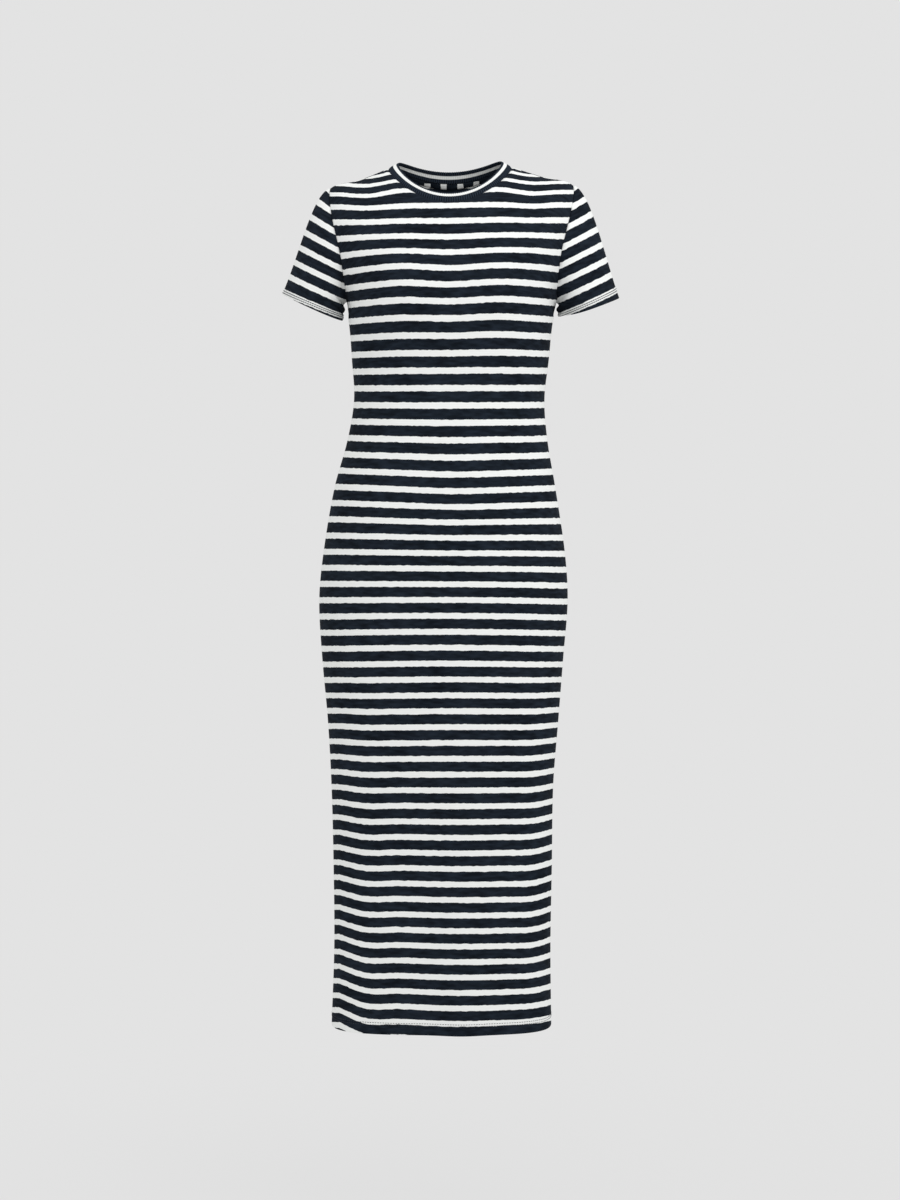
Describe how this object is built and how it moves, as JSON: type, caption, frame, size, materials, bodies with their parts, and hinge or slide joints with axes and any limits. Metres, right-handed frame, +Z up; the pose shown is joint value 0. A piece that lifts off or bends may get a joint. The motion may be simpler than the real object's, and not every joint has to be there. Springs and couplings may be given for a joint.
{
  "type": "t-shirt dress",
  "caption": "Slim midi T-shirt dress in striped jersey with a crew neck, ribbed neckband and short set-in sleeves, filled out as worn.",
  "frame": {"origin": "on the middle line between the two shoulder seams where they meet the neckband, where the wearer's shoulders hold the dress", "axes": "+Z up, -Y towards the front of the dress, +X towards the wearer's left"},
  "size_m": [0.466, 0.2417, 1.1931],
  "materials": {
    "jersey": "matte single jersey in navy and off-white stripes",
    "rib": "matte fine rib knit, navy with one off-white stripe",
    "tape": "matte striped jersey binding"
  },
  "bodies": {
    "root": {"front": "jersey", "back": "jersey", "sleeve_left": "jersey", "sleeve_right": "jersey", "neckband": "rib", "neck_tape": "tape"}
  },
  "joints": []
}
